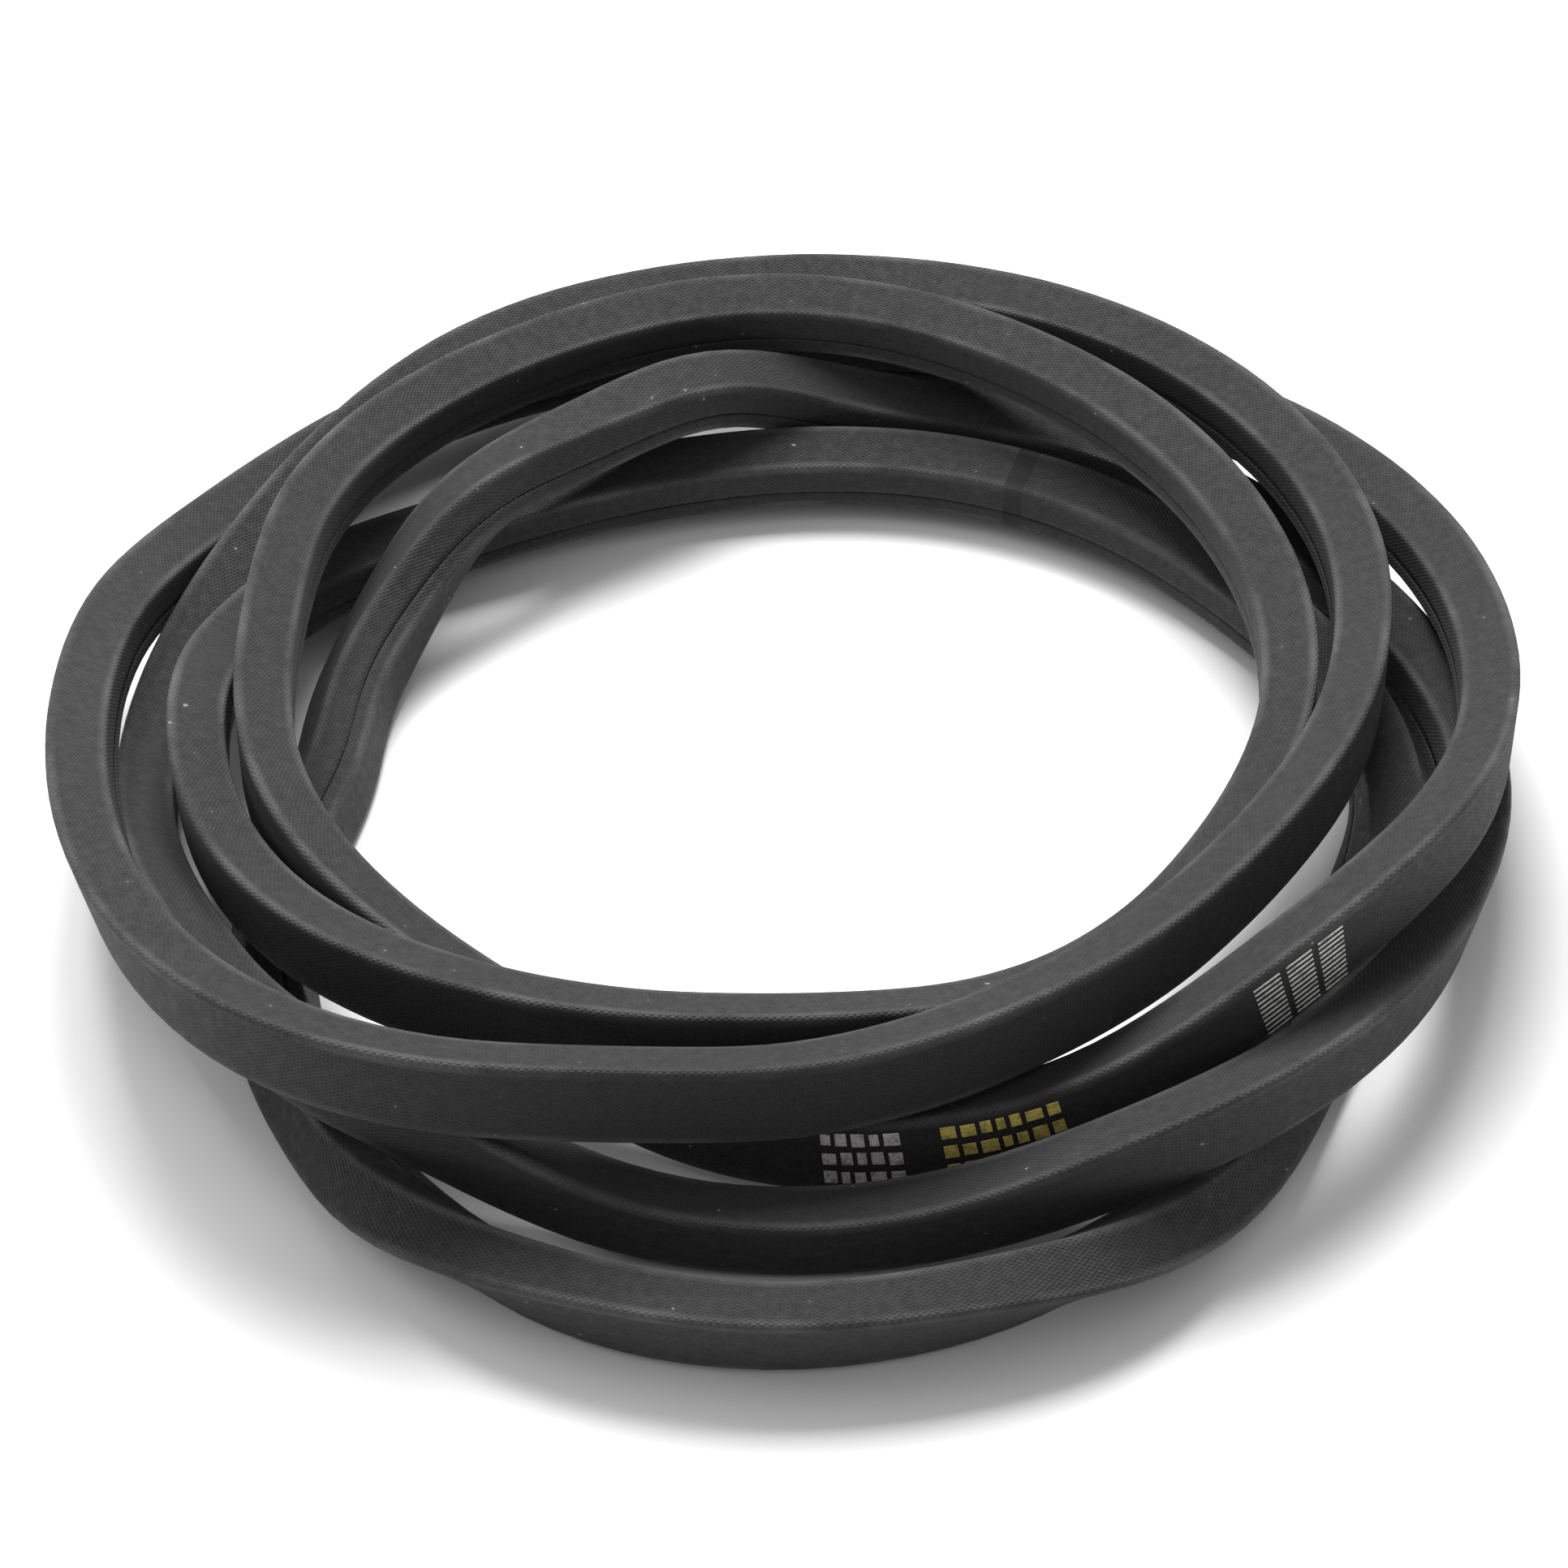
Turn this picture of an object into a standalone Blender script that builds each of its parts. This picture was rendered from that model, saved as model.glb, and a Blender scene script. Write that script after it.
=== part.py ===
"""Wrapped V-belt, an endless rubber belt laid down in a loose coil of five loops.

The belt is one closed loop. Its route is a list of points chosen by hand, and every
layer of the belt is the same sweep along that route with its own cross-section, so
the layers lie inside each other with a small gap.

Section directions: "out" points from the narrow inner face to the wide back, and
"across" runs over the width of the belt.
"""
import math

import bpy
import numpy as np
from mathutils import Quaternion, Vector

MM = 0.001

# ---- belt section ----
BACK_WIDTH = 22.2 * MM
NARROW_WIDTH = 12.4 * MM
DEPTH = 13.5 * MM
GAP = 0.3 * MM                  # kept between pieces that touch on the real belt
CORE_GAP = 0.4 * MM             # the same inside the wrap, where twisted faces come closer
CORD_GAP = 0.6 * MM             # the same above and below the cord

OUTER_PLY = 0.7 * MM            # rubberised fabric wrapped round everything
INNER_PLY = 0.6 * MM            # second turn of fabric under the first
SEAM = 0.3 * MM                 # open line where the edges of a ply meet
SEAM_PLACE = 2.0 * MM           # each seam lies this far from the middle, on its own side

OVERCORD = 1.45 * MM            # rubber between the cord bed and the back
GUM_SHEET = 0.8 * MM            # thin soft sheets above and below the cord
CORD_DIAMETER = 1.5 * MM
CORD_PASSES = 5                 # times the one cord goes round the belt
CORD_SPREAD = 12.0 * MM         # from the first pass to the last, across the belt

# ---- printed marks on the back ----
MARK_THICK = 0.25 * MM
MARK_GAP = 0.5 * MM
ROW_HEIGHT = 4.2 * MM
ROW_PITCH = 5.8 * MM
WHITE_HOURS = (5.62, 5.86)
YELLOW_HOURS = (5.16, 5.5)
LADDER_HOURS = (4.305, 4.585)
LADDER_COLUMNS = 3
LADDER_HEIGHT = 18.0 * MM
LADDER_SPACE = 0.02             # hours left free between two columns

# ---- route ----
# One list per loop. A point is (clock hour, radius mm, height mm, lean degrees).
# Twelve o'clock is +Y, three is +X. Lean tips the upper edge of the belt outwards.
# The first strand of each loop follows on from the last strand of the one before.
HOURS_PER_LOOP = 12
STATIONS_PER_HOUR = 2
TWIST_STEP = 8                  # most degrees of twist between two stations
LOOPS = [
    # outer strand, climbing to the front right and diving inside at the front
    [(0, 184, 12, 0), (1, 185.5, 15.4, 0), (2, 178.5, 27.2, 0), (3, 170.5, 38, 0),
     (4, 160.6, 50.6, 0), (4.5, 151.4, 42.8, 0), (5, 144.9, 26.3, 0), (5.5, 136, 17, 0),
     (6, 128, 12.8, 0), (6.5, 120.5, 14.5, 0), (7, 116, 20, 0), (8, 125, 37, 0),
     (9, 125.2, 39.8, 0), (9.5, 128.1, 41.8, 0), (10, 138, 40, 0), (11, 150, 39, 0)],
    # inner upper strand, going under its neighbour at the back left
    [(0, 157.8, 40.5, 0), (1, 146, 38.6, 0), (2, 133, 35, 0), (3, 122.7, 30, 0),
     (3.5, 116.3, 26, 0), (4, 111.5, 22.5, 0), (5, 113, 25, 0), (6, 118.3, 35, 0), (7, 131.5, 39.5, 3),
     (8, 140.5, 35, 5), (9, 141.3, 33, 0), (9.5, 141.3, 20.3, 0), (10, 139.8, 14.8, 0),
     (10.5, 129, 11.8, 0), (11, 124.5, 11.6, 0), (11.5, 123.5, 11.5, 0)],
    # floor strand, lying nearly flat where others cross over it
    [(0, 126, 11.4, 0), (1, 132.5, 11.5, 0), (2, 136, 11.6, 0), (3, 147.5, 11.7, 0),
     (3.5, 145.5, 13.2, 42), (4, 146, 9.6, 77), (4.5, 156.5, 8.6, 85), (4.75, 166, 9.7, 78),
     (5, 174.7, 11, 70), (5.25, 180.5, 13.2, 45), (5.5, 181, 13.3, 24), (6, 185, 12.8, 18),
     (6.5, 181.5, 13.2, 18), (6.75, 177.5, 13.4, 36), (7, 173.4, 11.7, 62),
     (7.25, 158.8, 9, 85), (7.5, 153, 7.6, 88), (8, 138.5, 7.8, 87), (9, 110.5, 9, 80),
     (9.5, 113, 10.2, 78), (10, 114.8, 15.5, 66), (10.5, 116, 30.6, 35),
     (11, 118, 32.5, 18), (11.5, 124.3, 35.9, 4), (11.75, 133.6, 35.4, 0)],
    # second strand from the floor
    [(0, 142.3, 24, 0), (0.5, 147.5, 14.4, 0), (1, 156, 12, 0), (2, 160, 11.8, 0),
     (3, 168, 13.4, 12), (3.5, 167, 19.5, 15), (4, 168.8, 27, 8), (4.5, 168.3, 29.4, 6),
     (4.75, 168, 30.4, 4), (5, 167.4, 31.4, 4), (5.5, 157, 14.8, 12), (6, 156.5, 12.9, 18),
     (6.5, 155.5, 15, 12), (7, 156.3, 28, 0), (7.25, 159.6, 30.2, 0), (7.5, 161, 29.8, 0),
     (8, 156.5, 27.5, 0), (8.5, 155.5, 18, 0), (9, 155.6, 12.2, 0), (9.5, 155.5, 13.3, 0),
     (10, 155.3, 21, 0), (10.5, 159.5, 28, 0), (11, 167, 33.5, 0)],
    # top strand
    [(0, 172, 37, 0), (1, 173, 37, 0), (2, 158.5, 37, 0), (3, 138.3, 38.5, 0),
     (4, 126, 41.5, 0), (5, 129.4, 42.5, 0), (5.5, 134.5, 41.5, 0), (6, 139, 38.5, 0),
     (6.5, 148, 43.2, 0), (7, 167, 47.6, 0), (7.25, 172.5, 48.8, 1), (7.5, 175.5, 48.2, 6),
     (8, 173, 45, 12), (8.5, 168.5, 42, 12), (9, 167.4, 36.8, 4), (9.5, 169.8, 28.7, 0),
     (10, 170, 19, 0), (10.5, 174.6, 15, 0), (11, 180, 13, 0)],
]

# ---- materials: base colour, roughness ----
FABRIC = ((0.030, 0.030, 0.032), 0.75)
INNER_FABRIC = ((0.055, 0.050, 0.045), 0.85)
OVERCORD_RUBBER = ((0.020, 0.020, 0.021), 0.60)
SOFT_GUM = ((0.050, 0.036, 0.028), 0.55)
LOWER_GUM = ((0.046, 0.033, 0.026), 0.55)
CORE_RUBBER = ((0.014, 0.014, 0.015), 0.65)
CORD_FIBRE = ((0.62, 0.56, 0.42), 0.80)
WHITE_INK = ((0.80, 0.74, 0.76), 0.60)
YELLOW_INK = ((0.72, 0.62, 0.22), 0.60)
SILVER_INK = ((0.66, 0.66, 0.62), 0.50)


def clear_scene():
    for ob in list(bpy.data.objects):
        bpy.data.objects.remove(ob, do_unlink=True)
    for group in list(bpy.data.collections):
        bpy.data.collections.remove(group)


def new_collection(name):
    group = bpy.data.collections.new(name)
    bpy.context.scene.collection.children.link(group)
    return group


def material(name, look):
    colour, roughness = look
    mat = bpy.data.materials.new(name)
    mat.use_nodes = True
    shader = mat.node_tree.nodes["Principled BSDF"]
    shader.inputs["Base Color"].default_value = (*colour, 1.0)
    shader.inputs["Roughness"].default_value = roughness
    mat.diffuse_color = (*colour, 1.0)
    return mat


# ---- route as functions of the clock hour counted through all loops ----

TOTAL_HOURS = HOURS_PER_LOOP * len(LOOPS)
KNOT_HOURS = []
KNOT_VALUES = []
for loop_number, loop_points in enumerate(LOOPS):
    for hour, radius, height, lean in loop_points:
        KNOT_HOURS.append(hour + HOURS_PER_LOOP * loop_number)
        KNOT_VALUES.append(np.array((radius, height, lean), float))


def knot(index):
    """Hour and values of a route point, counted round the closed route."""
    turns, place = divmod(index, len(KNOT_HOURS))
    return KNOT_HOURS[place] + turns * TOTAL_HOURS, KNOT_VALUES[place]


def route_values(hour):
    """Radius mm, height mm and lean degrees on a smooth curve through the points."""
    hour = hour % TOTAL_HOURS
    index = int(np.searchsorted(KNOT_HOURS, hour, side="right")) - 1
    h0, v0 = knot(index - 1)
    h1, v1 = knot(index)
    h2, v2 = knot(index + 1)
    h3, v3 = knot(index + 2)
    span = h2 - h1
    t = (hour - h1) / span
    slope1 = (v2 - v0) / (h2 - h0) * span
    slope2 = (v3 - v1) / (h3 - h1) * span
    blend = t * t * (3 - 2 * t)
    return (v1 + (v2 - v1) * blend
            + slope1 * t * (1 - t) ** 2
            - slope2 * t * t * (1 - t))


def route_station(hour):
    """Centre of the belt section in metres and its lean in radians."""
    radius, height, lean = route_values(hour)
    turn = math.radians(hour * 360 / HOURS_PER_LOOP)
    centre = Vector((radius * math.sin(turn), radius * math.cos(turn), height)) * MM
    return centre, math.radians(lean)


def station_hours():
    """Every half hour and every route point, and closer where the belt twists."""
    even = [i / STATIONS_PER_HOUR for i in range(TOTAL_HOURS * STATIONS_PER_HOUR)]
    coarse = sorted(set(even) | set(KNOT_HOURS))
    fine = []
    for first, last in zip(coarse, coarse[1:] + [TOTAL_HOURS]):
        twist = abs(route_values(last)[2] - route_values(first)[2])
        steps = max(1, math.ceil(twist / TWIST_STEP))
        fine += [first + (last - first) * k / steps for k in range(steps)]
    return fine


HOURS = station_hours()
STATIONS = [route_station(hour) for hour in HOURS]
STATION_COUNT = len(STATIONS)


def station(index):
    return STATIONS[index % STATION_COUNT]


def section_axes(index):
    """Unit vectors "out" and "across" of the section at a station."""
    before, here, after = station(index - 1)[0], station(index)[0], station(index + 1)[0]
    along = ((here - before).normalized() + (after - here).normalized()).normalized()
    up = Vector((0, 0, 1))
    across = (up - along * up.dot(along)).normalized()
    out = across.cross(along)
    lean = Quaternion(along, -station(index)[1])
    return lean @ out, lean @ across


# ---- cross-sections, each a list of (out, across) corners ----

HALF_DEPTH = DEPTH / 2
FLANK_SLOPE = (BACK_WIDTH - NARROW_WIDTH) / 2 / DEPTH
FLANK_STRETCH = math.hypot(1, FLANK_SLOPE)


def half_width(out, inset):
    """Half width of the belt at a depth, with the flanks moved in by an inset."""
    middle = (BACK_WIDTH + NARROW_WIDTH) / 4
    return middle + out * FLANK_SLOPE - inset * FLANK_STRETCH


def slab(low, high, inset):
    """Full-width layer between two depths."""
    wide, narrow = half_width(high, inset), half_width(low, inset)
    return [(low, -narrow), (high, -wide), (high, wide), (low, narrow)]


def wrapped_ply(outer_inset, thickness, seam_place):
    """Ply wrapped round the section, open only along its seam on the narrow face."""
    inner_inset = outer_inset + thickness
    half_seam = SEAM / 2
    rings = []
    for inset in (outer_inset, inner_inset):
        narrow_face, back = inset - HALF_DEPTH, HALF_DEPTH - inset
        low, high = half_width(narrow_face, inset), half_width(back, inset)
        rings.append([(narrow_face, seam_place - half_seam), (narrow_face, -low),
                      (back, -high), (back, high),
                      (narrow_face, low), (narrow_face, seam_place + half_seam)])
    return rings[0] + rings[1][::-1]


def rounded_bar(centre_out, centre_across, radius, sides):
    turn = 2 * math.pi / sides
    return [(centre_out + radius * math.cos(turn * i),
             centre_across + radius * math.sin(turn * i)) for i in range(sides)]


# ---- sweeps ----

def guide_profile(name, corners, guides):
    """Closed flat curve that a sweep follows; it looks at the belt from behind."""
    curve = bpy.data.curves.new(name, "CURVE")
    curve.dimensions = "2D"
    spline = curve.splines.new("POLY")
    spline.points.add(len(corners) - 1)
    for point, (out, across) in zip(spline.points, corners):
        point.co = (-out, across, 0, 1)
    spline.use_cyclic_u = True
    ob = bpy.data.objects.new(name, curve)
    ob.hide_render = True
    ob.display_type = "WIRE"
    guides.objects.link(ob)
    return ob


def add_path(curve, points, closed):
    spline = curve.splines.new("POLY")
    spline.points.add(len(points) - 1)
    for target, (place, lean) in zip(spline.points, points):
        target.co = (*place, 1)
        target.tilt = -lean
    spline.use_cyclic_u = closed
    spline.use_smooth = False


def sweep(name, corners, paths, closed, look, parts, guides):
    """One named piece: its section swept along every path given."""
    curve = bpy.data.curves.new(name, "CURVE")
    curve.dimensions = "3D"
    curve.twist_mode = "Z_UP"
    curve.bevel_mode = "OBJECT"
    curve.bevel_object = guide_profile(name + "_section", corners, guides)
    curve.use_fill_caps = not closed
    for points in paths:
        add_path(curve, points, closed)
    curve.materials.append(material(name, look))
    ob = bpy.data.objects.new(name, curve)
    # twisted faces of neighbouring layers must fold along the same diagonal
    fold = ob.modifiers.new("fold", "TRIANGULATE")
    fold.quad_method = "SHORTEST_DIAGONAL"
    parts.objects.link(ob)
    return ob


def cord_path():
    """Winding of the cord: it moves one pitch across the belt on every pass."""
    count = STATION_COUNT * CORD_PASSES
    points = []
    for i in range(count + 1):
        centre, lean = station(i)
        out, across = section_axes(i)
        shift = CORD_SPREAD * (i / count - 0.5)
        points.append((centre + out * CORD_LINE + across * shift, lean))
    return points


def mark_point(hour, across_shift):
    """Point over the back face, on the straight line between two stations."""
    low = max(i for i in range(STATION_COUNT) if HOURS[i] <= hour)
    part = (hour - HOURS[low]) / (HOURS[low + 1] - HOURS[low])
    ends = []
    for index in (low, low + 1):
        centre, lean = station(index)
        out, across = section_axes(index)
        ends.append((centre + out * MARK_LINE + across * across_shift, lean))
    lean = ends[0][1] * (1 - part) + ends[1][1] * part
    return ends[0][0].lerp(ends[1][0], part), lean


def mark_path(first_hour, last_hour, across_shift):
    """Stretch of the back face, bent only where the belt itself bends."""
    inside = [hour for hour in HOURS if first_hour < hour < last_hour]
    return [mark_point(hour, across_shift) for hour in (first_hour, *inside, last_hour)]


# depths of the layers, worked from the back towards the narrow face
PLY_STEP = OUTER_PLY + GAP
CORE_INSET = PLY_STEP + INNER_PLY + CORE_GAP
CORE_BACK = HALF_DEPTH - CORE_INSET
CORE_NARROW = CORE_INSET - HALF_DEPTH
OVERCORD_LOW = CORE_BACK - OVERCORD
UPPER_GUM_HIGH = OVERCORD_LOW - GAP
UPPER_GUM_LOW = UPPER_GUM_HIGH - GUM_SHEET
CORD_LINE = UPPER_GUM_LOW - CORD_GAP - CORD_DIAMETER / 2
LOWER_GUM_HIGH = CORD_LINE - CORD_DIAMETER / 2 - CORD_GAP
LOWER_GUM_LOW = LOWER_GUM_HIGH - GUM_SHEET
CORE_HIGH = LOWER_GUM_LOW - GAP
MARK_LINE = HALF_DEPTH + MARK_GAP + MARK_THICK / 2


def mark_section(height):
    half = MARK_THICK / 2
    return [(-half, -height / 2), (half, -height / 2), (half, height / 2), (-half, height / 2)]


def build():
    clear_scene()
    parts = new_collection("wrapped_v_belt")
    guides = new_collection("guides")
    ring = [[station(i) for i in range(STATION_COUNT)]]

    def layer(name, corners, look):
        return sweep(name, corners, ring, True, look, parts, guides)

    layer("outer_fabric_ply", wrapped_ply(0, OUTER_PLY, -SEAM_PLACE), FABRIC)
    layer("inner_fabric_ply", wrapped_ply(PLY_STEP, INNER_PLY, SEAM_PLACE), INNER_FABRIC)
    layer("overcord_rubber", slab(OVERCORD_LOW, CORE_BACK, CORE_INSET), OVERCORD_RUBBER)
    layer("upper_cushion_gum", slab(UPPER_GUM_LOW, UPPER_GUM_HIGH, CORE_INSET), SOFT_GUM)
    layer("lower_cushion_gum", slab(LOWER_GUM_LOW, LOWER_GUM_HIGH, CORE_INSET), LOWER_GUM)
    layer("compression_core", slab(CORE_NARROW, CORE_HIGH, CORE_INSET), CORE_RUBBER)
    sweep("tension_cord", rounded_bar(0, 0, CORD_DIAMETER / 2, 4), [cord_path()], False,
          CORD_FIBRE, parts, guides)

    def mark(name, height, hours, across_shift, look):
        path = mark_path(*hours, across_shift)
        sweep(name, mark_section(height), [path], False, look, parts, guides)

    for k, row in enumerate(("lower", "middle", "upper")):
        shift = ROW_PITCH * (k - 1)
        mark("white_print_" + row + "_row", ROW_HEIGHT, WHITE_HOURS, shift, WHITE_INK)
        mark("yellow_print_" + row + "_row", ROW_HEIGHT, YELLOW_HOURS, shift, YELLOW_INK)
    first, last = LADDER_HOURS
    width = (last - first - LADDER_SPACE * (LADDER_COLUMNS - 1)) / LADDER_COLUMNS
    for k in range(LADDER_COLUMNS):
        start = first + k * (width + LADDER_SPACE)
        name = "silver_print_column_" + str(k + 1)
        mark(name, LADDER_HEIGHT, (start, start + width), 0, SILVER_INK)

    # origin under the middle of the coil, on the surface it lies on
    bpy.context.view_layer.update()
    corners = [ob.matrix_world @ Vector(c) for ob in parts.objects for c in ob.bound_box]
    low = Vector([min(c[k] for c in corners) for k in range(3)])
    high = Vector([max(c[k] for c in corners) for k in range(3)])
    shift = Vector(((low.x + high.x) / 2, (low.y + high.y) / 2, low.z))
    for ob in parts.objects:
        ob.location = -shift
    print("shift mm", [round(v / MM, 3) for v in shift], "size mm",
          [round(v / MM, 2) for v in high - low])


build()
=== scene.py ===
"""Looks of the coiled wrapped V-belt: woven cover, inner layers, cord and worn print marks."""
import math

import bpy
import numpy as np
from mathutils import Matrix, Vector


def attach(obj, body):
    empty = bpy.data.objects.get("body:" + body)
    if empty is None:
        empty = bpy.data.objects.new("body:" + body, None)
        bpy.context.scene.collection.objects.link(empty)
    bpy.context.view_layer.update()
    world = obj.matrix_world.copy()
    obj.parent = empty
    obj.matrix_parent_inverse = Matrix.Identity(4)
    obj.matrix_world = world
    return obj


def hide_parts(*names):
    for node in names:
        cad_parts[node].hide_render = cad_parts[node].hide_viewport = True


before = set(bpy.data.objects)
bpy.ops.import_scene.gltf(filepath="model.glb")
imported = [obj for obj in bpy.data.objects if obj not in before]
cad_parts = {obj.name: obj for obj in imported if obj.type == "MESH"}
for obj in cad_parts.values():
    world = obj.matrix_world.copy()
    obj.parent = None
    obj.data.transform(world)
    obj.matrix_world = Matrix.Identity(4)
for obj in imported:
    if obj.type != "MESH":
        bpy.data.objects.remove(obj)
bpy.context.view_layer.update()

MM = 0.001

# ---- belt section, as in the CAD part ----
BACK_WIDTH = 22.2
NARROW_WIDTH = 12.4
DEPTH = 13.5
GAP = 0.3
CORE_GAP = 0.4
CORD_GAP = 0.6
OUTER_PLY = 0.7
INNER_PLY = 0.6
SEAM = 0.3
SEAM_PLACE = 2.0
OVERCORD = 1.45
GUM_SHEET = 0.8
CORD_DIAMETER = 1.5
CORD_PASSES = 5
CORD_SPREAD = 12.0
CORNER_ROUND = 1.15             # radius of the cover's corners
CORNER_STEPS = 5
FACE_STEP = 1.6                 # longest stretch between two points on a flat face
PLY_ROUND = 1.0                 # the same for the ply under it
PLY_FACE_STEP = 4.0
SMALLEST_ROUND = 0.4
SLAB_ROUND = 0.25
SLAB_CORNER_STEPS = 2
CORD_SIDES = 8
EDGE_HIGHLIGHT_AND_WEAR_REACH = 0.5                # how far the painted edge highlight and wear spread from a corner
WAVINESS = 0.12                 # how far the wrapped cover rises and falls
# each wave of the cover: strength, mm per radian along and around the belt, start in radians
COVER_WAVES = ((1.0, 23, 9, 0.0), (1.0, 11, -6, 1.3), (1.0, 37, -14, 4.0), (0.6, 5.3, 4.1, 2.2))

# ---- printed marks on the back ----
ROW_HEIGHT = 4.2
ROW_PITCH = 5.8
WHITE_HOURS = (5.62, 5.86)
YELLOW_HOURS = (5.16, 5.5)
LADDER_HOURS = (4.305, 4.585)
LADDER_COLUMNS = 3
LADDER_HEIGHT = 18.0
LADDER_SPACE = 0.02
LADDER_LINES = 11
PRINT_LIFT = 0.05
PRINT_THICK = 0.1
PRINT_EDGE = 0.18               # slope at the edge of the ink
PRINT_STATIONS_PER_HOUR = 60
LINE_SHARE = 0.45               # how much of the ladder's pitch is ink
BLOCK_SPACE = 0.42              # between blocks of a row, against widths of 0.7 to 1.5

# ---- route, the same points as the CAD part ----
# One list per loop. A point is (clock hour, radius mm, height mm, lean degrees).
HOURS_PER_LOOP = 12
# mm from the middle of the clock face to the origin of the CAD part
ORIGIN_IN_ROUTE = np.array((1.22, -2.05, 0.031))
LOOPS = [
    # outer strand, climbing to the front right and diving inside at the front
    [(0, 184, 12, 0), (1, 185.5, 15.4, 0), (2, 178.5, 27.2, 0), (3, 170.5, 38, 0),
     (4, 160.6, 50.6, 0), (4.5, 151.4, 42.8, 0), (5, 144.9, 26.3, 0), (5.5, 136, 17, 0),
     (6, 128, 12.8, 0), (6.5, 120.5, 14.5, 0), (7, 116, 20, 0), (8, 125, 37, 0),
     (9, 125.2, 39.8, 0), (9.5, 128.1, 41.8, 0), (10, 138, 40, 0), (11, 150, 39, 0)],
    # inner upper strand, going under its neighbour at the back left
    [(0, 157.8, 40.5, 0), (1, 146, 38.6, 0), (2, 133, 35, 0), (3, 122.7, 30, 0),
     (3.5, 116.3, 26, 0), (4, 111.5, 22.5, 0), (5, 113, 25, 0), (6, 118.3, 35, 0), (7, 131.5, 39.5, 3),
     (8, 140.5, 35, 5), (9, 141.3, 33, 0), (9.5, 141.3, 20.3, 0), (10, 139.8, 14.8, 0),
     (10.5, 129, 11.8, 0), (11, 124.5, 11.6, 0), (11.5, 123.5, 11.5, 0)],
    # floor strand, lying nearly flat where others cross over it
    [(0, 126, 11.4, 0), (1, 132.5, 11.5, 0), (2, 136, 11.6, 0), (3, 147.5, 11.7, 0),
     (3.5, 145.5, 13.2, 42), (4, 146, 9.6, 77), (4.5, 156.5, 8.6, 85), (4.75, 166, 9.7, 78),
     (5, 174.7, 11, 70), (5.25, 180.5, 13.2, 45), (5.5, 181, 13.3, 24), (6, 185, 12.8, 18),
     (6.5, 181.5, 13.2, 18), (6.75, 177.5, 13.4, 36), (7, 173.4, 11.7, 62),
     (7.25, 158.8, 9, 85), (7.5, 153, 7.6, 88), (8, 138.5, 7.8, 87), (9, 110.5, 9, 80),
     (9.5, 113, 10.2, 78), (10, 114.8, 15.5, 66), (10.5, 116, 30.6, 35),
     (11, 118, 32.5, 18), (11.5, 124.3, 35.9, 4), (11.75, 133.6, 35.4, 0)],
    # second strand from the floor
    [(0, 142.3, 24, 0), (0.5, 147.5, 14.4, 0), (1, 156, 12, 0), (2, 160, 11.8, 0),
     (3, 168, 13.4, 12), (3.5, 167, 19.5, 15), (4, 168.8, 27, 8), (4.5, 168.3, 29.4, 6),
     (4.75, 168, 30.4, 4), (5, 167.4, 31.4, 4), (5.5, 157, 14.8, 12), (6, 156.5, 12.9, 18),
     (6.5, 155.5, 15, 12), (7, 156.3, 28, 0), (7.25, 159.6, 30.2, 0), (7.5, 161, 29.8, 0),
     (8, 156.5, 27.5, 0), (8.5, 155.5, 18, 0), (9, 155.6, 12.2, 0), (9.5, 155.5, 13.3, 0),
     (10, 155.3, 21, 0), (10.5, 159.5, 28, 0), (11, 167, 33.5, 0)],
    # top strand
    [(0, 172, 37, 0), (1, 173, 37, 0), (2, 158.5, 37, 0), (3, 138.3, 38.5, 0),
     (4, 126, 41.5, 0), (5, 129.4, 42.5, 0), (5.5, 134.5, 41.5, 0), (6, 139, 38.5, 0),
     (6.5, 148, 43.2, 0), (7, 167, 47.6, 0), (7.25, 172.5, 48.8, 1), (7.5, 175.5, 48.2, 6),
     (8, 173, 45, 12), (8.5, 168.5, 42, 12), (9, 167.4, 36.8, 4), (9.5, 169.8, 28.7, 0),
     (10, 170, 19, 0), (10.5, 174.6, 15, 0), (11, 180, 13, 0)],
]
EASING = 0.22                   # hours over which the route is evened out
TANGENT_STEP = 0.02             # hours to each side, for the belt's direction
COVER_STATIONS = 150            # per loop
INNER_STATIONS = 90
FIRST_HOUR = 25                 # on the floor strand; a faint band shows where the weave starts

# ---- floor, camera and light ----
FLOOR_SIZE = 12
FLOOR_HEIGHT = -0.0006          # just under the lowest strand
PHOTO_ELEVATION = 40
CAMERA_DISTANCE = 1.0
CAMERA_TARGET = Vector((-0.0012, -0.01295, 0.0199))
LENS = 94.66
SENSOR = 36.0


# ---- route as functions of the clock hour counted through all loops ----

TOTAL_HOURS = HOURS_PER_LOOP * len(LOOPS)
KNOT_HOURS = np.array([point[0] + HOURS_PER_LOOP * turn
                       for turn, loop in enumerate(LOOPS) for point in loop])
KNOT_VALUES = np.array([point[1:] for loop in LOOPS for point in loop], float)


def route_values(hours):
    """Radius mm, height mm and lean degrees on the smooth curve through the points."""
    wrapped = hours % TOTAL_HOURS
    index = np.searchsorted(KNOT_HOURS, wrapped, side="right") - 1
    count = len(KNOT_HOURS)

    def knot(shift):
        turns, place = np.divmod(index + shift, count)
        return KNOT_HOURS[place] + turns * TOTAL_HOURS, KNOT_VALUES[place]

    (h0, v0), (h1, v1), (h2, v2), (h3, v3) = (knot(k) for k in (-1, 0, 1, 2))
    span = (h2 - h1)[:, None]
    t = (wrapped - h1)[:, None] / span
    slope1 = (v2 - v0) / (h2 - h0)[:, None] * span
    slope2 = (v3 - v1) / (h3 - h1)[:, None] * span
    return (v1 + (v2 - v1) * t * t * (3 - 2 * t)
            + slope1 * t * (1 - t) ** 2 - slope2 * t * t * (1 - t))


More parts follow.
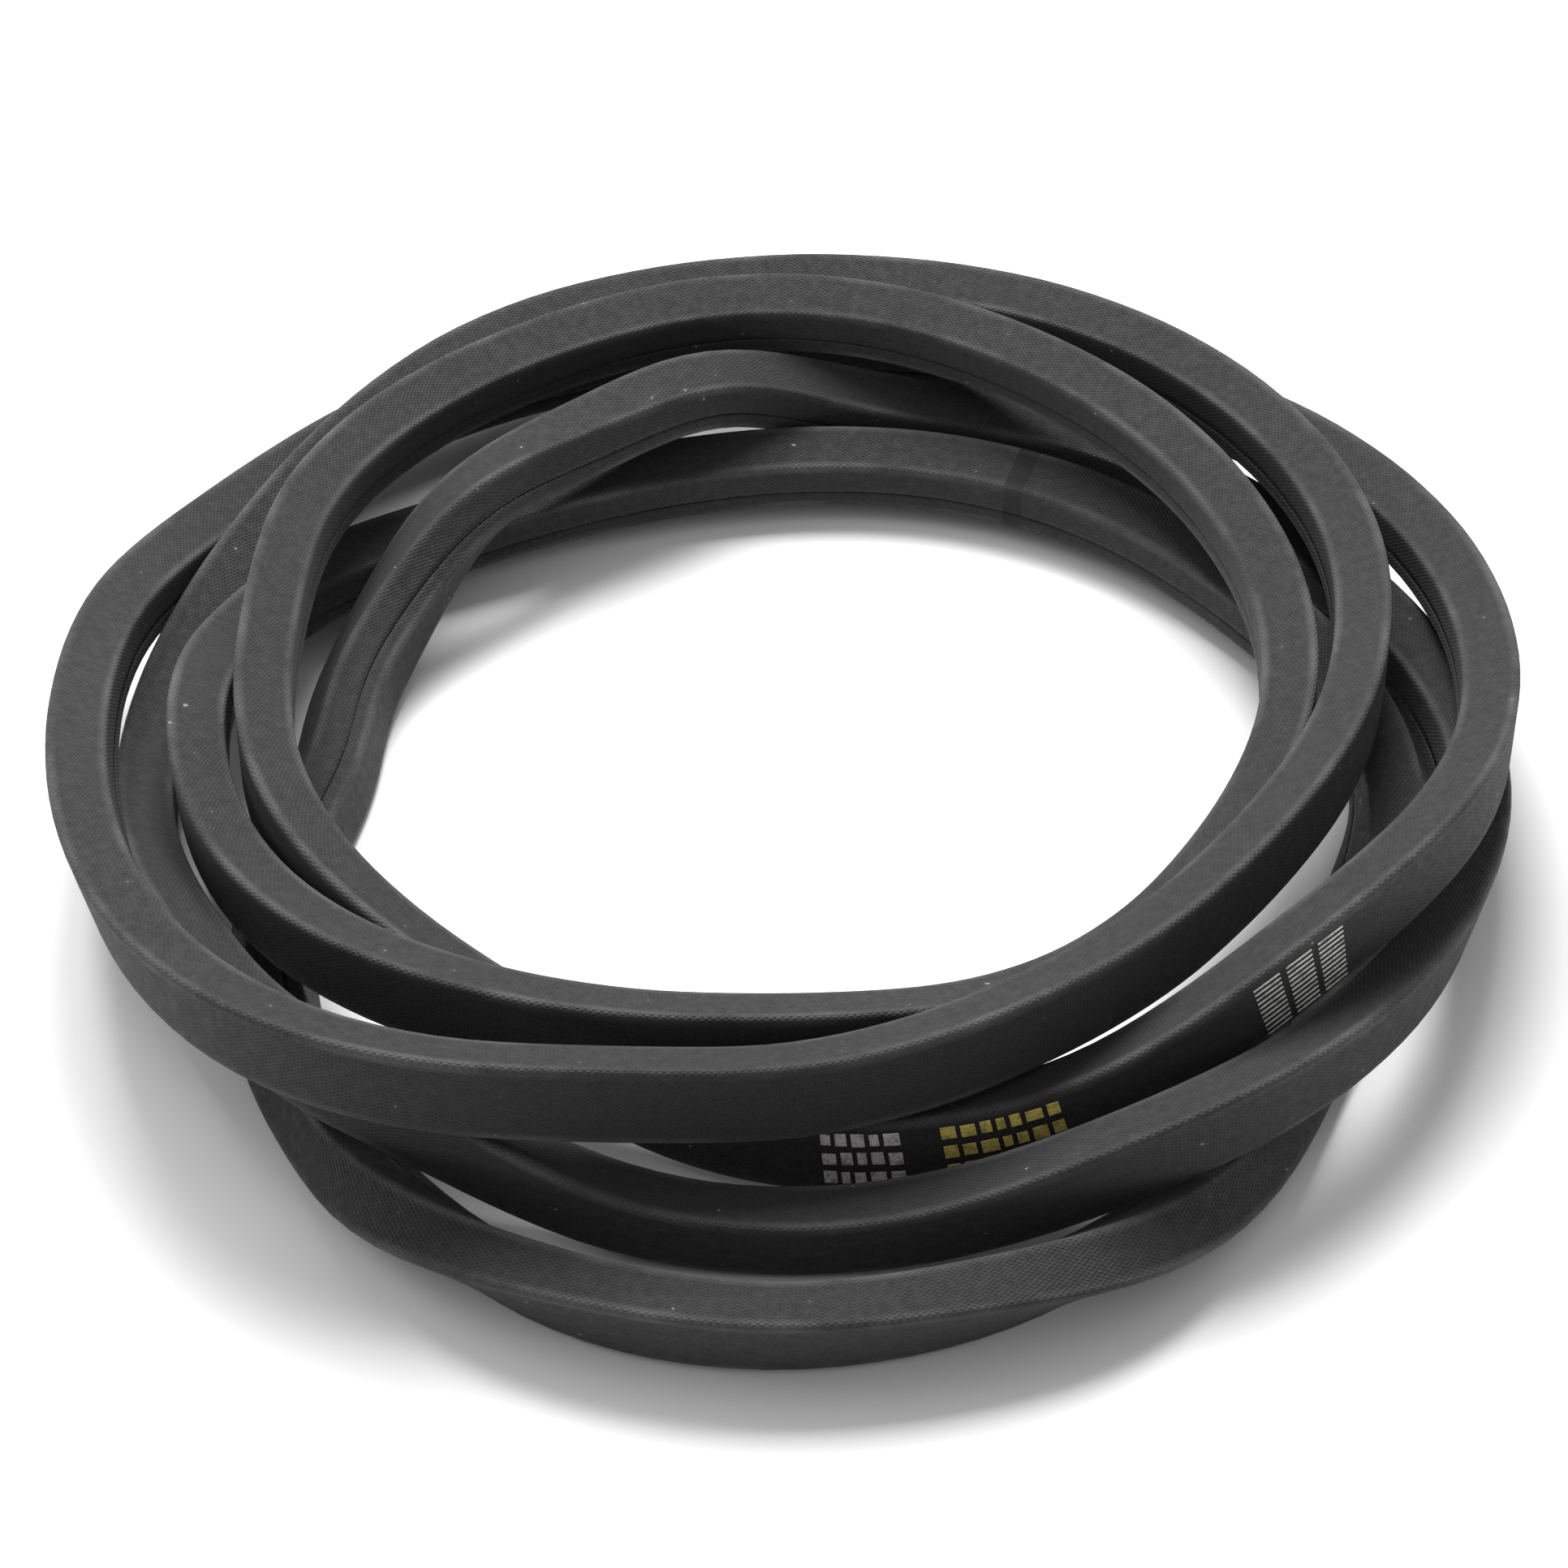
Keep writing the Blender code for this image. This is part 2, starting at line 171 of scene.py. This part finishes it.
def route(hours):
    """Centres in mm and leans in radians; rubber bends gently, so corners are eased."""
    offsets = np.linspace(-2, 2, 9) * EASING
    weights = np.exp(-(offsets / EASING) ** 2 / 2)
    values = sum(w * route_values(hours + d) for w, d in zip(weights / weights.sum(), offsets))
    radius, height, lean = values.T
    turn = np.radians(hours * 360 / HOURS_PER_LOOP)
    centre = np.stack((radius * np.sin(turn), radius * np.cos(turn), height), 1)
    return centre - ORIGIN_IN_ROUTE, np.radians(lean)


def unit(vectors):
    return vectors / np.linalg.norm(vectors, axis=-1, keepdims=True)


def section_axes(hours):
    """Centres, and unit vectors "out" and "across" of the section at each hour."""
    centre, lean = route(hours)
    along = unit(route(hours + TANGENT_STEP)[0] - route(hours - TANGENT_STEP)[0])
    up = np.array((0.0, 0.0, 1.0))
    across = unit(up - along * along[:, 2:3])
    out = np.cross(across, along)
    cos, sin = np.cos(-lean)[:, None], np.sin(-lean)[:, None]
    return (centre, out * cos + np.cross(along, out) * sin,
            across * cos + np.cross(along, across) * sin)


def distance_along(centre):
    steps = np.linalg.norm(np.diff(centre, axis=0), axis=1)
    return np.concatenate(((0.0,), np.cumsum(steps)))


# ---- cross-sections in mm: points (out, across) ----

HALF_DEPTH = DEPTH / 2
FLANK_SLOPE = (BACK_WIDTH - NARROW_WIDTH) / 2 / DEPTH
FLANK_STRETCH = math.hypot(1, FLANK_SLOPE)
PLY_STEP = OUTER_PLY + GAP
CORE_INSET = PLY_STEP + INNER_PLY + CORE_GAP
CORE_BACK = HALF_DEPTH - CORE_INSET
OVERCORD_LOW = CORE_BACK - OVERCORD
UPPER_GUM_HIGH = OVERCORD_LOW - GAP
UPPER_GUM_LOW = UPPER_GUM_HIGH - GUM_SHEET
CORD_LINE = UPPER_GUM_LOW - CORD_GAP - CORD_DIAMETER / 2
LOWER_GUM_HIGH = CORD_LINE - CORD_DIAMETER / 2 - CORD_GAP
LOWER_GUM_LOW = LOWER_GUM_HIGH - GUM_SHEET
CORE_HIGH = LOWER_GUM_LOW - GAP


def half_width(out, inset):
    middle = (BACK_WIDTH + NARROW_WIDTH) / 4
    return middle + out * FLANK_SLOPE - inset * FLANK_STRETCH


def rounded(corners, radius, steps):
    """Outline with each corner replaced by an arc, and which points lie on an arc."""
    points, on_arc = [], []
    count = len(corners)
    for i, corner in enumerate(corners):
        corner = np.array(corner, float)
        before = unit(np.array(corners[i - 1], float) - corner)
        after = unit(np.array(corners[(i + 1) % count], float) - corner)
        half = math.acos(max(-1, min(1, float(before @ after)))) / 2
        reach = radius / math.tan(half)
        middle = corner + unit(before + after) * radius / math.sin(half)
        start, end = corner + before * reach, corner + after * reach
        for k in range(steps + 1):
            spot = start + (end - start) * k / steps
            points.append(middle + unit(spot - middle) * radius)
            on_arc.append(True)
    return points, on_arc


def filled_in(points, on_arc, step):
    """More points on the flat stretches, so that the painted edge highlight and wear, and the waves,
    have somewhere to sit.
    """
    spots, arcs = [], []
    for i, point in enumerate(points):
        spots.append(point)
        arcs.append(on_arc[i])
        if i + 1 == len(points):
            break
        gap = np.linalg.norm(points[i + 1] - point)
        extra = max(0, math.ceil(gap / step) - 1)
        for k in range(extra):
            spots.append(point + (points[i + 1] - point) * (k + 1) / (extra + 1))
            arcs.append(False)
    return spots, arcs


def ply_outline(outer_inset, thickness, seam_place, corner_round, step):
    """Closed C-shaped outline of a wrapped ply.

    Also returns each point's distance round the belt, its share of the painted edge
    highlight and wear at the corners, and how many of the points lie on the outside.
    """
    rings = []
    for inset, radius in ((outer_inset, corner_round),
                          (outer_inset + thickness, max(SMALLEST_ROUND, corner_round - thickness))):
        narrow_face, back = inset - HALF_DEPTH, HALF_DEPTH - inset
        low, high = half_width(narrow_face, inset), half_width(back, inset)
        corners = [(narrow_face, -low), (back, -high), (back, high), (narrow_face, low)]
        points, on_arc = rounded(corners, radius, CORNER_STEPS)
        first = np.array((narrow_face, seam_place - SEAM / 2))
        last = np.array((narrow_face, seam_place + SEAM / 2))
        points, on_arc = filled_in([first, *points, last], [False, *on_arc, False], step)
        around = distance_along(np.array(points))
        arc_places = around[np.array(on_arc)]
        # painted edge highlight and wear: strongest on each rounded corner of the outside, fading away
        # from it
        edge_highlight_and_wear = [math.exp(-(min(abs(arc_places - spot)) / EDGE_HIGHLIGHT_AND_WEAR_REACH) ** 2)
                for spot in around]
        rings.append((np.array(points), around, np.array(edge_highlight_and_wear)))
    (outer, around, edge_highlight_and_wear), (inner, inner_around, inner_edge_highlight_and_wear) = rings
    return (np.vstack((outer, inner[::-1])),
            np.concatenate((around, inner_around[::-1])),
            np.concatenate((edge_highlight_and_wear, inner_edge_highlight_and_wear[::-1] * 0)), len(outer))


def slab_outline(low, high, inset):
    wide, narrow = half_width(high, inset), half_width(low, inset)
    corners = [(low, -narrow), (high, -wide), (high, wide), (low, narrow)]
    return np.array(rounded(corners, SLAB_ROUND, SLAB_CORNER_STEPS)[0])


# ---- meshes ----

def grid_mesh(name, rings, closed, attributes=None):
    """Tube through rings of points: rings is (stations, corners, 3) in mm."""
    stations, corners, _ = rings.shape
    spans = stations if closed else stations - 1
    a = np.arange(spans)[:, None] * corners + np.arange(corners)[None]
    b = np.arange(spans)[:, None] * corners + (np.arange(corners)[None] + 1) % corners
    c = (b + corners) % (stations * corners)
    d = (a + corners) % (stations * corners)
    faces = np.stack((a, d, c, b), 2).reshape(-1, 4).tolist()
    if not closed:
        last = (stations - 1) * corners
        faces.append(list(range(corners)))
        faces.append([last + k for k in reversed(range(corners))])
    mesh = bpy.data.meshes.new(name)
    mesh.from_pydata((rings.reshape(-1, 3) * MM).tolist(), [], faces)
    for key, values in (attributes or {}).items():
        layer = mesh.attributes.new(key, "FLOAT", "POINT")
        layer.data.foreach_set("value", np.asarray(values, np.float32).ravel())
    mesh.update()
    return mesh


def place(name, mesh, mat, nodes, slot, smooth=True):
    mesh.materials.append(mat)
    mesh.polygons.foreach_set("use_smooth", [smooth] * len(mesh.polygons))
    ob = bpy.data.objects.new(name, mesh)
    bpy.context.scene.collection.objects.link(ob)
    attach(ob, "root")
    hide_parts(*nodes)
    return ob


def ring_points(hours, outline):
    """Outline placed at every hour; an outline may differ from station to station."""
    centre, out, across = section_axes(hours)
    shape = outline if outline.ndim == 3 else outline[None]
    return (centre[:, None] + out[:, None] * shape[..., 0:1]
            + across[:, None] * shape[..., 1:2])


def loop_hours(per_loop):
    count = per_loop * len(LOOPS)
    return FIRST_HOUR + np.arange(count) * TOTAL_HOURS / count


def swept_ply(name, inset, thickness, seam, corner_round, step, stations, waviness):
    """Wrapped ply with attributes for the weave: place along, place around, and the painted edge
    highlight and wear at the corners.
    """
    hours = loop_hours(stations)
    outline, around, edge_highlight_and_wear, outer_count = ply_outline(inset, thickness, seam, corner_round, step)
    along = distance_along(route(hours)[0])
    rings = ring_points(hours, outline)
    outside = np.where(np.arange(len(outline)) < outer_count, 1.0, 0.0)
    wave = sum(strength * np.sin(along[:, None] / length + around[None] / girth + start)
               for strength, length, girth, start in COVER_WAVES)
    wave /= sum(strength for strength, *_ in COVER_WAVES)
    centre = rings.mean(axis=1, keepdims=True)
    rings += unit(rings - centre) * (waviness * wave * outside[None])[..., None]
    full = np.ones(rings.shape[:2])
    return grid_mesh(name, rings, True, {"along": along[:, None] * full,
                                         "around": around[None] * full,
                                         "edge_highlight_and_wear": edge_highlight_and_wear[None] * full})


def swept_slab(name, low, high):
    hours = loop_hours(INNER_STATIONS)
    outline = slab_outline(low, high, CORE_INSET)
    along = distance_along(route(hours)[0])
    rings = ring_points(hours, outline)
    full = np.ones(rings.shape[:2])
    return grid_mesh(name, rings, True, {"along": along[:, None] * full,
                                         "around": np.arange(len(outline))[None] * full,
                                         "edge_highlight_and_wear": 0 * full})


def cord_mesh(name):
    """One winding that moves a pitch across the belt on every pass round it."""
    count = INNER_STATIONS * len(LOOPS) * CORD_PASSES
    part = np.arange(count + 1) / count
    hours = FIRST_HOUR + part * TOTAL_HOURS * CORD_PASSES
    turn = np.arange(CORD_SIDES) * 2 * math.pi / CORD_SIDES
    radius = CORD_DIAMETER / 2
    outline = np.zeros((count + 1, CORD_SIDES, 2))
    outline[..., 0] = CORD_LINE + radius * np.cos(turn)
    outline[..., 1] = CORD_SPREAD * (part[:, None] - 0.5) + radius * np.sin(turn)
    rings = ring_points(hours, outline)
    full = np.ones(rings.shape[:2])
    along = distance_along(rings.mean(axis=1))
    return grid_mesh(name, rings, False, {"along": along[:, None] * full,
                                          "around": turn[None] * radius * full,
                                          "edge_highlight_and_wear": 0 * full})


def print_patches(name, patches):
    """Thin raised ink: each patch is (first hour, last hour, low across, high across)."""
    vertices, faces = [], []
    for first, last, low, high in patches:
        hours = np.linspace(first, last, max(2, math.ceil((last - first) * PRINT_STATIONS_PER_HOUR)))
        base = HALF_DEPTH + PRINT_LIFT
        top = base + PRINT_THICK
        inset = min(PRINT_EDGE, (high - low) / 4)
        outline = np.array([(base, low), (top, low + inset), (top, high - inset), (base, high)])
        rings = ring_points(hours, outline)
        start = len(vertices)
        vertices += (rings.reshape(-1, 3) * MM).tolist()
        for i in range(len(hours) - 1):
            for k in range(4):
                a, b = i * 4 + k, i * 4 + (k + 1) % 4
                faces.append([start + a, start + a + 4, start + b + 4, start + b])
        end = start + (len(hours) - 1) * 4
        faces.append([start, start + 1, start + 2, start + 3])
        faces.append([end + 3, end + 2, end + 1, end])
    mesh = bpy.data.meshes.new(name)
    mesh.from_pydata(vertices, [], faces)
    mesh.update()
    return mesh


# ---- materials ----

MIX_COLOUR_A = 6
MIX_COLOUR_B = 7
MIX_COLOUR_RESULT = 2


class Nodes:
    """Short names for building a node tree."""

    def __init__(self, name):
        self.material = bpy.data.materials.new(name)
        self.material.use_nodes = True
        self.tree = self.material.node_tree
        self.shader = self.tree.nodes["Principled BSDF"]

    def add(self, kind, **values):
        node = self.tree.nodes.new(kind)
        for key, value in values.items():
            setattr(node, key, value)
        return node

    def link(self, source, target):
        self.tree.links.new(source, target)

    def attribute(self, name):
        return self.add("ShaderNodeAttribute", attribute_name=name).outputs["Fac"]

    def math(self, operation, first, second):
        node = self.add("ShaderNodeMath", operation=operation)
        for socket, value in zip(node.inputs, (first, second)):
            if isinstance(value, (int, float)):
                socket.default_value = value
            else:
                self.link(value, socket)
        return node.outputs[0]

    def place_mm(self):
        """Position on the object in millimetres."""
        scale = self.add("ShaderNodeVectorMath", operation="SCALE")
        self.link(self.add("ShaderNodeTexCoord").outputs["Object"], scale.inputs[0])
        scale.inputs["Scale"].default_value = 1 / MM
        return scale.outputs[0]

    def surface_mm(self):
        """Position along and around the belt in millimetres."""
        node = self.add("ShaderNodeCombineXYZ")
        self.link(self.attribute("along"), node.inputs[0])
        self.link(self.attribute("around"), node.inputs[1])
        return node.outputs[0]

    def noise(self, vector, size_mm, detail=3.0, roughness=0.55):
        node = self.add("ShaderNodeTexNoise")
        self.link(vector, node.inputs["Vector"])
        node.inputs["Scale"].default_value = 1 / size_mm
        node.inputs["Detail"].default_value = detail
        node.inputs["Roughness"].default_value = roughness
        return node.outputs["Fac"]

    def threads(self, vector, angle, pitch_mm, distortion):
        """Parallel threads lying at an angle to the belt, 0 in between and 1 on top."""
        turn = self.add("ShaderNodeMapping")
        turn.inputs["Rotation"].default_value = (0, 0, math.radians(angle))
        self.link(vector, turn.inputs["Vector"])
        wave = self.add("ShaderNodeTexWave")
        self.link(turn.outputs[0], wave.inputs["Vector"])
        wave.inputs["Scale"].default_value = 2 * math.pi / 20 / pitch_mm
        wave.inputs["Distortion"].default_value = distortion
        wave.inputs["Detail"].default_value = 2
        wave.inputs["Detail Scale"].default_value = 0.6
        return wave.outputs["Fac"]

    def remap(self, value, low, high, to_low=0.0, to_high=1.0):
        node = self.add("ShaderNodeMapRange")
        for key, number in (("From Min", low), ("From Max", high),
                            ("To Min", to_low), ("To Max", to_high)):
            node.inputs[key].default_value = number
        self.link(value, node.inputs["Value"])
        return node.outputs["Result"]

    def mix(self, share, first, second):
        node = self.add("ShaderNodeMix", data_type="RGBA")
        self.link(share, node.inputs["Factor"])
        # sockets by number, because A, B and Result have the same names for every data type
        for index, value in ((MIX_COLOUR_A, first), (MIX_COLOUR_B, second)):
            if isinstance(value, tuple):
                node.inputs[index].default_value = (*value, 1.0)
            else:
                self.link(value, node.inputs[index])
        return node.outputs[MIX_COLOUR_RESULT]

    def bump(self, height, strength, distance):
        node = self.add("ShaderNodeBump")
        node.inputs["Strength"].default_value = strength
        node.inputs["Distance"].default_value = distance
        self.link(height, node.inputs["Height"])
        self.link(node.outputs[0], self.shader.inputs["Normal"])


def cover_material():
    """Black rubberised cloth: bias weave, mottled rubber film, corners painted lighter as painted edge
    highlight and wear, pale dust.
    """
    n = Nodes("cover_fabric")
    place_mm, surface = n.place_mm(), n.surface_mm()
    one_way = n.threads(surface, 58, 0.9, 1.6)
    other_way = n.threads(surface, -58, 0.9, 1.6)
    weave = n.math("MAXIMUM", one_way, other_way)
    film = n.remap(n.noise(place_mm, 2.6, 5, 0.7), 0.38, 0.64)
    fine = n.noise(place_mm, 0.55, 3, 0.75)
    blotch = n.noise(place_mm, 60, 2)
    dark = n.mix(film, (0.006, 0.0057, 0.0058), (0.0135, 0.013, 0.013))
    threads = n.math("MULTIPLY", weave, n.remap(fine, 0.35, 0.7, 0.2, 1.0))
    cloth = n.mix(n.math("MULTIPLY", threads, n.remap(film, 0.0, 1.0, 0.9, 0.45)),
                  dark, (0.036, 0.035, 0.035))
    dusty = n.mix(n.remap(blotch, 0.4, 0.75, 0.0, 0.2), cloth, (0.026, 0.026, 0.028))
    # painted edge highlight and wear: the corners are painted lighter, in patches along the belt
    patchy_edge_highlight_and_wear = n.math("MULTIPLY", n.attribute("edge_highlight_and_wear"), n.remap(n.noise(place_mm, 26, 5), 0.4, 0.7, 0.15, 1.0))
    edge_lit_and_worn = n.mix(n.math("MULTIPLY", patchy_edge_highlight_and_wear, 0.7), dusty, (0.095, 0.095, 0.1))
    speck = n.remap(n.noise(place_mm, 2.6, 1), 0.79, 0.82)
    n.link(n.mix(n.math("MULTIPLY", speck, 0.7), edge_lit_and_worn, (0.30, 0.29, 0.27)),
           n.shader.inputs["Base Color"])
    n.link(n.remap(film, 0.0, 1.0, 0.85, 0.62), n.shader.inputs["Roughness"])
    height = n.math("ADD", n.math("MULTIPLY", weave, 0.6), n.math("MULTIPLY", fine, 0.7))
    n.bump(height, 1.0, 0.0003)
    n.shader.inputs["Specular IOR Level"].default_value = 0.3
    n.shader.inputs["Sheen Weight"].default_value = 0.05
    n.shader.inputs["Sheen Roughness"].default_value = 0.6
    return n.material


def inner_ply_material():
    n = Nodes("inner_fabric")
    surface = n.surface_mm()
    weave = n.math("MAXIMUM", n.threads(surface, 45, 1.1, 0.6), n.threads(surface, -45, 1.1, 0.6))
    n.link(n.mix(weave, (0.03, 0.027, 0.024), (0.09, 0.08, 0.065)), n.shader.inputs["Base Color"])
    n.link(n.remap(weave, 0.0, 1.0, 0.95, 0.75), n.shader.inputs["Roughness"])
    n.bump(weave, 0.6, 0.0002)
    return n.material


def rubber_material(name, dark, light, grain_mm, roughness):
    """Calendered rubber: two tones that run into each other, and a fine grain."""
    n = Nodes(name)
    place_mm = n.place_mm()
    tone = n.remap(n.noise(place_mm, 14, 3), 0.35, 0.65)
    grain = n.noise(place_mm, grain_mm, 4, 0.65)
    n.link(n.mix(tone, dark, light), n.shader.inputs["Base Color"])
    n.link(n.remap(grain, 0.3, 0.7, roughness - 0.08, roughness + 0.12),
           n.shader.inputs["Roughness"])
    n.bump(grain, 0.35, 0.0001)
    return n.material


def cord_material():
    """Twisted fibre strands, seen as slanting ridges along the cord."""
    n = Nodes("cord_fibre")
    surface = n.surface_mm()
    strands = n.threads(surface, 35, 1.4, 0.3)
    fibres = n.noise(surface, 0.25, 2)
    n.link(n.mix(n.math("MULTIPLY", strands, n.remap(fibres, 0.3, 0.7, 0.5, 1.0)),
                 (0.30, 0.25, 0.17), (0.68, 0.62, 0.48)), n.shader.inputs["Base Color"])
    n.link(n.remap(fibres, 0.3, 0.7, 0.7, 0.9), n.shader.inputs["Roughness"])
    n.bump(strands, 0.8, 0.0002)
    return n.material


def ink_material(name, ink, faded, wear_mm):
    """Worn print: where the ink has rubbed thin, the belt's dark cloth shows through."""
    n = Nodes(name)
    place_mm = n.place_mm()
    thin = n.remap(n.noise(place_mm, wear_mm, 4, 0.7), 0.48, 0.62)
    spots = n.remap(n.noise(place_mm, 0.5, 2), 0.5, 0.64)
    gone = n.math("MAXIMUM", n.math("MULTIPLY", thin, 0.75), n.math("MULTIPLY", spots, 0.6))
    n.link(n.mix(gone, ink, faded), n.shader.inputs["Base Color"])
    n.link(n.remap(gone, 0.0, 1.0, 0.5, 0.8), n.shader.inputs["Roughness"])
    n.bump(spots, 0.3, 0.00008)
    return n.material


# ---- the belt ----

def build_belt():
    cover = swept_ply("belt_cover", 0, OUTER_PLY, -SEAM_PLACE, CORNER_ROUND, FACE_STEP,
                      COVER_STATIONS, WAVINESS)
    place("belt_cover", cover, cover_material(), ["outer_fabric_ply"], "cover_fabric")
    ply = swept_ply("belt_inner_ply", PLY_STEP, INNER_PLY, SEAM_PLACE, PLY_ROUND,
                    PLY_FACE_STEP, INNER_STATIONS, 0)
    place("belt_inner_ply", ply, inner_ply_material(), ["inner_fabric_ply"], "inner_fabric")
    layers = (
        ("overcord", OVERCORD_LOW, CORE_BACK, "overcord_rubber",
         (0.016, 0.016, 0.017), (0.03, 0.03, 0.031), 1.2, 0.6),
        ("upper_gum", UPPER_GUM_LOW, UPPER_GUM_HIGH, "upper_cushion_gum",
         (0.04, 0.028, 0.021), (0.065, 0.046, 0.034), 0.9, 0.5),
        ("lower_gum", LOWER_GUM_LOW, LOWER_GUM_HIGH, "lower_cushion_gum",
         (0.036, 0.026, 0.02), (0.06, 0.042, 0.031), 0.9, 0.5),
        ("core", CORE_INSET - HALF_DEPTH, CORE_HIGH, "compression_core",
         (0.01, 0.01, 0.011), (0.022, 0.022, 0.023), 1.6, 0.65),
    )
    for slot, low, high, node, dark, light, grain, roughness in layers:
        mat = rubber_material(slot + "_rubber", dark, light, grain, roughness)
        place("belt_" + slot, swept_slab("belt_" + slot, low, high), mat, [node], slot)
    place("belt_cord", cord_mesh("belt_cord"), cord_material(), ["tension_cord"], "cord")


def row_patches(hours, across, seed, blocks):
    """Worn row of separate blocks of print, unlike in length; no letters or figures."""
    rng = np.random.default_rng(seed)
    widths = rng.uniform(0.7, 1.5, blocks)
    gaps = np.full(blocks, BLOCK_SPACE)
    scale = (hours[1] - hours[0]) / (widths.sum() + gaps.sum() - gaps[-1])
    patches = []
    hour = hours[0]
    for width, gap in zip(widths, gaps):
        low = across - ROW_HEIGHT / 2 + rng.uniform(0, 0.5)
        high = across + ROW_HEIGHT / 2 - rng.uniform(0, 0.5)
        patches.append((hour, hour + width * scale, low, high))
        hour += (width + gap) * scale
    return patches


def build_prints():
    white = ink_material("white_ink", (0.80, 0.70, 0.72), (0.20, 0.16, 0.165), 2.2)
    yellow = ink_material("yellow_ink", (0.78, 0.62, 0.16), (0.20, 0.16, 0.05), 2.4)
    silver = ink_material("silver_ink", (0.70, 0.70, 0.64), (0.20, 0.20, 0.18), 2.0)
    for k, row in enumerate(("lower", "middle", "upper")):
        across = ROW_PITCH * (k - 1)
        for colour, mat, hours, blocks in (("white", white, WHITE_HOURS, 5),
                                           ("yellow", yellow, YELLOW_HOURS, 7)):
            node = colour + "_print_" + row + "_row"
            patches = row_patches(hours, across, 10 + k + blocks, blocks)
            place(node + "_ink", print_patches(node, patches), mat, [node],
                  colour + "_ink", smooth=False)
    first, last = LADDER_HOURS
    width = (last - first - LADDER_SPACE * (LADDER_COLUMNS - 1)) / LADDER_COLUMNS
    pitch = LADDER_HEIGHT / LADDER_LINES
    for k in range(LADDER_COLUMNS):
        start = first + k * (width + LADDER_SPACE)
        lines = [(start, start + width, i * pitch - LADDER_HEIGHT / 2,
                  (i + LINE_SHARE) * pitch - LADDER_HEIGHT / 2) for i in range(LADDER_LINES)]
        node = "silver_print_column_" + str(k + 1)
        place(node + "_ink", print_patches(node, lines), silver, [node], "silver_ink",
              smooth=False)


# ---- floor, light and camera ----

def floor_material():
    n = Nodes("pale_floor")
    place_mm = n.place_mm()
    tone = n.remap(n.noise(place_mm, 60, 3), 0.3, 0.7)
    n.link(n.mix(tone, (0.86, 0.86, 0.86), (0.88, 0.88, 0.88)), n.shader.inputs["Base Color"])
    n.shader.inputs["Roughness"].default_value = 0.9
    return n.material


def build_floor():
    bpy.ops.mesh.primitive_plane_add(size=FLOOR_SIZE, location=(0, 0, FLOOR_HEIGHT))
    floor = bpy.context.object
    floor.name = "floor"
    floor.data.materials.append(floor_material())


def area_light(name, azimuth, elevation, distance, size, power):
    """Square lamp that looks at the coil; azimuth 0 is the front, 90 the right."""
    turn, lift = math.radians(azimuth), math.radians(elevation)
    spot = Vector((math.sin(turn) * math.cos(lift), -math.cos(turn) * math.cos(lift),
                   math.sin(lift))) * distance
    data = bpy.data.lights.new(name, "AREA")
    data.size = size
    data.energy = power
    lamp = bpy.data.objects.new(name, data)
    lamp.location = spot
    lamp.rotation_euler = (-spot).to_track_quat("-Z", "Y").to_euler()
    bpy.context.scene.collection.objects.link(lamp)


def build_light():
    world = bpy.data.worlds.new("studio")
    world.use_nodes = True
    back = world.node_tree.nodes["Background"]
    back.inputs["Color"].default_value = (1.0, 1.0, 1.0, 1.0)
    back.inputs["Strength"].default_value = 0.5
    bpy.context.scene.world = world
    area_light("key_above_behind_left", 190, 58, 1.6, 0.9, 46)
    area_light("fill_left", -95, 40, 1.8, 1.0, 6)
    bpy.context.scene.view_settings.view_transform = "Standard"


def build_camera():
    data = bpy.data.cameras.new("camera")
    data.lens = LENS
    data.sensor_width = SENSOR
    data.clip_end = 20
    camera = bpy.data.objects.new("camera", data)
    lift = math.radians(PHOTO_ELEVATION)
    away = Vector((0, -math.cos(lift), math.sin(lift)))
    camera.location = CAMERA_TARGET + away * CAMERA_DISTANCE
    camera.rotation_euler = (-away).to_track_quat("-Z", "Y").to_euler()
    bpy.context.scene.collection.objects.link(camera)
    bpy.context.scene.camera = camera


build_belt()
build_prints()
build_floor()
build_light()
build_camera()
